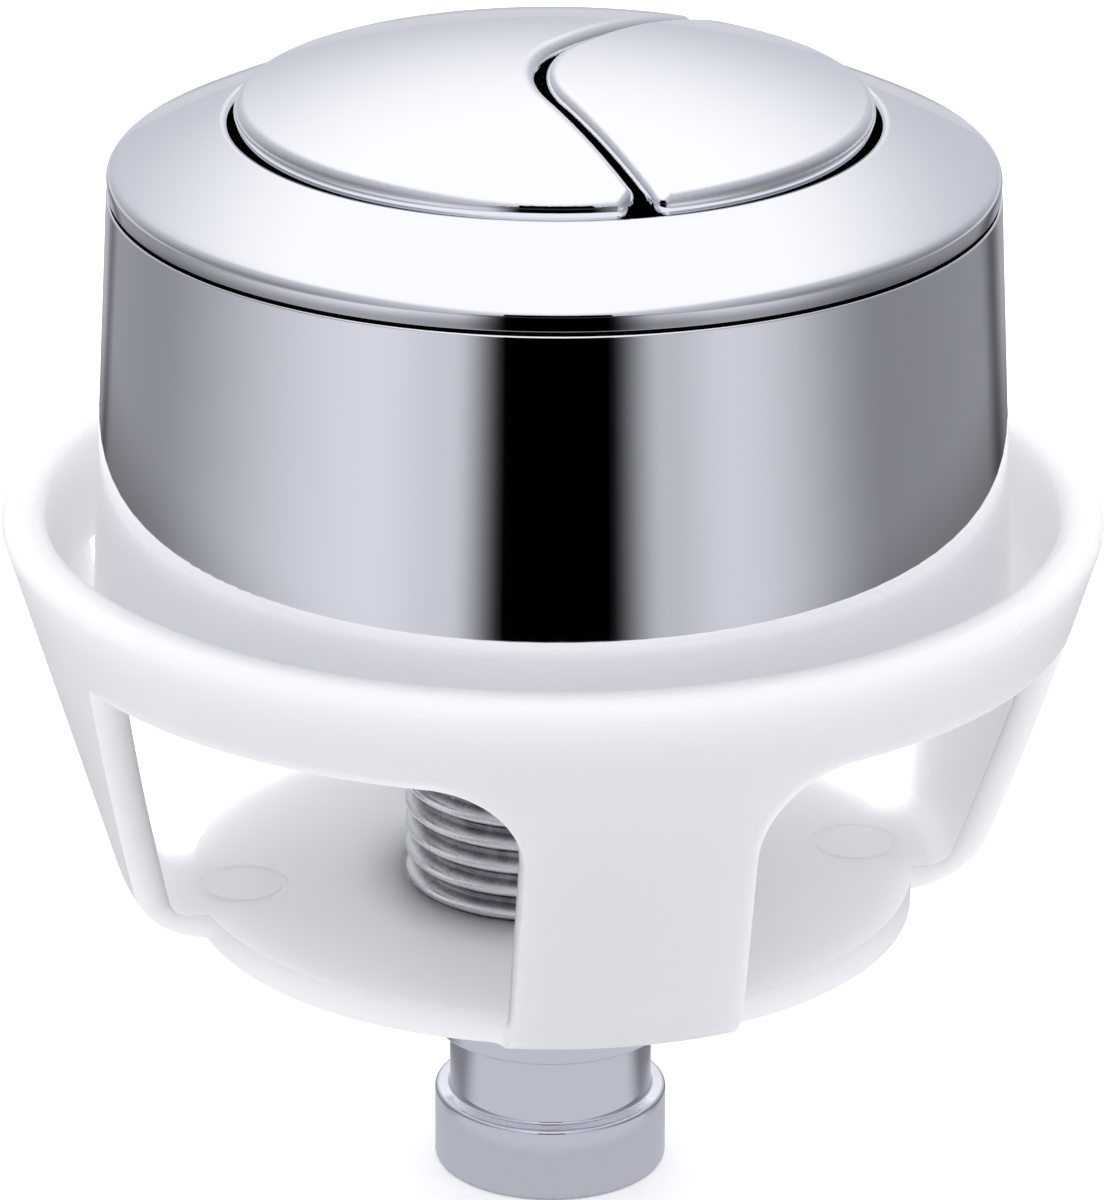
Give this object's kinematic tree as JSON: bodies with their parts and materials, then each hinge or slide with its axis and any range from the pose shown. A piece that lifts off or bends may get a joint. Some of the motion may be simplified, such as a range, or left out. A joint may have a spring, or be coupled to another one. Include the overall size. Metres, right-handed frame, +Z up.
{
  "type": "push button cistern actuator",
  "caption": "Chrome dual flush push button with a domed split top on a hollow threaded stem, with a white plastic cup nut that screws up under the cistern lid.",
  "frame": {"origin": "on the stem's axis at the flat end of its foot, where it meets the flush valve", "axes": "+Z up along the stem to the buttons, +X to the half flush side, +Y away from the viewer"},
  "size_m": [0.0725, 0.0726, 0.0784],
  "materials": {
    "chromed_body": "bright chrome plating on moulded plastic",
    "chromed_button": "bright chrome plating on moulded plastic",
    "chromed_stem": "bright chrome on metal",
    "white_cup": "moulded white plastic, satin",
    "inner_plastic": "moulded natural plastic",
    "screw_steel": "zinc plated",
    "spring_steel": "drawn wire",
    "rod_brass": "plain turned brass"
  },
  "bodies": {
    "body": {"body_sleeve": "chromed_body", "bezel_ring": "chromed_body", "guide_block": "inner_plastic", "guide_screws": "screw_steel", "threaded_stem": "chromed_stem", "rod_guide": "inner_plastic"},
    "full_flush": {"full_flush_button": "chromed_button", "full_flush_carrier": "inner_plastic", "full_flush_cap_screws": "screw_steel", "full_flush_spring": "spring_steel", "full_flush_clip": "spring_steel", "full_flush_rod": "rod_brass", "full_flush_lock_nut": "rod_brass"},
    "half_flush": {"half_flush_button": "chromed_button", "half_flush_carrier": "inner_plastic", "half_flush_cap_screws": "screw_steel", "half_flush_spring": "spring_steel", "half_flush_clip": "spring_steel", "half_flush_rod": "rod_brass", "half_flush_lock_nut": "rod_brass"},
    "cup": {"clamp_nut": "white_cup"}
  },
  "joints": [
    {"name": "full_flush_press", "type": "slide", "parent": "body", "child": "full_flush", "axis": [0, 0, -1], "range_m": [0, 0.005], "stiffness_N_per_m": 600, "springref_m": -0.004, "deforming": ["full_flush_spring"]},
    {"name": "half_flush_press", "type": "slide", "parent": "body", "child": "half_flush", "axis": [0, 0, -1], "range_m": [0, 0.005], "stiffness_N_per_m": 600, "springref_m": -0.004, "deforming": ["half_flush_spring"]},
    {"name": "cup_travel", "type": "slide", "parent": "body", "child": "cup", "axis": [0, 0, 1], "range_m": [-0.006, 0.0025]}
  ]
}
